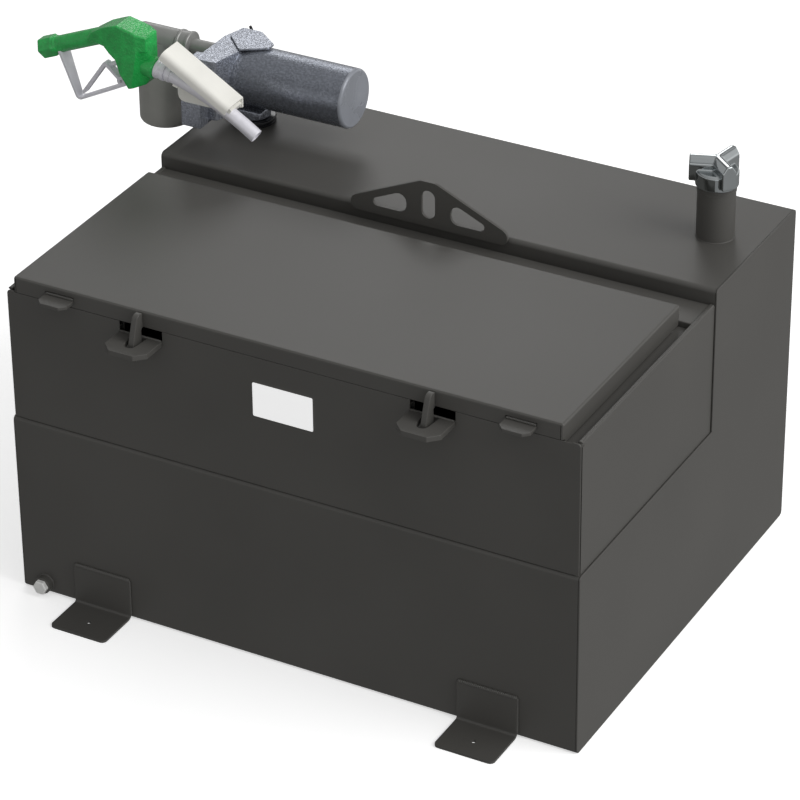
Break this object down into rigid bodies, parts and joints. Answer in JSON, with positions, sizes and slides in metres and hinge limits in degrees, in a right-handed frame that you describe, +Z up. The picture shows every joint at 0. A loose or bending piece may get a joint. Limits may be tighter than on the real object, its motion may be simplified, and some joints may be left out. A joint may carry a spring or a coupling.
{
  "type": "truck bed transfer tank",
  "caption": "L-shaped steel fuel tank with a lidded toolbox on its low front part, and an electric pump, filter, holstered nozzle and screw filler cap on its tall rear part.",
  "frame": {"origin": "centre of the tank's flat underside, level with the undersides of its feet", "axes": "+X along the tank's length towards the filler, +Y towards the tall rear part, +Z up; the toolbox faces -Y"},
  "size_m": [1.2999, 0.9726, 0.812],
  "materials": {
    "grey_powder_coat": "satin",
    "black_steel": "satin",
    "bare_steel": "satin",
    "chrome": "polished",
    "black_rubber": "matte",
    "white_plate": "satin",
    "hammered_grey": "hammered",
    "pipe_grey": "satin",
    "cream_plastic": "satin",
    "green_enamel": "gloss",
    "silver_metal": "satin"
  },
  "bodies": {
    "tank": {"drain_coupling": "black_steel", "drain_plug": "bare_steel", "filler_neck": "grey_powder_coat", "filter_canister": "pipe_grey", "filter_head": "pipe_grey", "foot_front_left": "grey_powder_coat", "foot_front_right": "grey_powder_coat", "foot_rear_left": "grey_powder_coat", "foot_rear_right": "grey_powder_coat", "hasp_plate_left": "grey_powder_coat", "hasp_plate_right": "grey_powder_coat", "hinge_leaf_deck": "grey_powder_coat", "hinge_pin": "bare_steel", "lifting_plate": "grey_powder_coat", "motor_end_bell": "hammered_grey", "motor_housing": "hammered_grey", "name_plate": "white_plate", "nozzle_body": "green_enamel", "nozzle_holster": "cream_plastic", "opening_frame": "grey_powder_coat", "outlet_coupling": "pipe_grey", "outlet_nipple": "pipe_grey", "pump_housing": "hammered_grey", "rear_deck": "grey_powder_coat", "rim_left": "grey_powder_coat", "rim_right": "grey_powder_coat", "rotor_cover": "hammered_grey", "spout": "silver_metal", "spout_collar": "silver_metal", "spout_ferrule": "silver_metal", "suction_tube": "pipe_grey", "surge_baffle_1": "grey_powder_coat", "surge_baffle_2": "grey_powder_coat", "switch_boss": "black_steel", "tank_bung": "black_steel", "tank_end_left": "grey_powder_coat", "tank_end_right": "grey_powder_coat", "tank_wrapper": "grey_powder_coat", "toolbox_shell": "grey_powder_coat", "trigger_guard": "silver_metal", "trigger_pin": "bare_steel", "wiring_cover": "hammered_grey"},
    "lid": {"lid_panel": "grey_powder_coat", "lid_rib_left": "grey_powder_coat", "lid_rib_right": "grey_powder_coat", "lid_seal": "black_rubber", "lift_tab_left": "grey_powder_coat", "lift_tab_right": "grey_powder_coat", "hasp_fin_left": "grey_powder_coat", "hasp_fin_right": "grey_powder_coat", "hinge_leaf_lid": "grey_powder_coat"},
    "cap_rise": {"cap_gasket": "black_rubber"},
    "cap": {"filler_cap": "chrome"},
    "trigger": {"trigger_lever": "silver_metal"},
    "stem": {"valve_stem": "black_steel"},
    "switch": {"switch_lever": "black_rubber"}
  },
  "joints": [
    {"name": "lid_hinge", "type": "hinge", "parent": "tank", "child": "lid", "pos_m": [0, 0.021, 0.5773], "axis": [-1, 0, 0], "range_deg": [0, 80]},
    {"name": "cap_lift", "type": "slide", "parent": "tank", "child": "cap_rise", "axis": [0, 0, 1], "range_m": [0, 0.0081]},
    {"name": "cap_turn", "type": "hinge", "parent": "cap_rise", "child": "cap", "pos_m": [0.439, 0.254, 0.7], "axis": [0, 0, 1], "range_deg": [0, 720]},
    {"name": "trigger_squeeze", "type": "hinge", "parent": "tank", "child": "trigger", "pos_m": [-0.612, 0.1227, 0.701], "axis": [0, 1, 0], "range_deg": [0, 16], "stiffness_Nm_per_rad": 2, "springref_deg": -5.73},
    {"name": "stem_slide", "type": "slide", "parent": "tank", "child": "stem", "axis": [0.9063, 0, 0.4226], "range_m": [0, 0.0115]},
    {"name": "switch_throw", "type": "hinge", "parent": "tank", "child": "switch", "pos_m": [-0.47, 0.3246, 0.7255], "axis": [0, 1, 0], "range_deg": [0, 50]}
  ],
  "couplings": [
    {"joint": "cap_lift", "follows": "cap_turn", "m_per_rad": 0.00063662},
    {"joint": "stem_slide", "follows": "trigger_squeeze", "m_per_rad": 0.04}
  ]
}
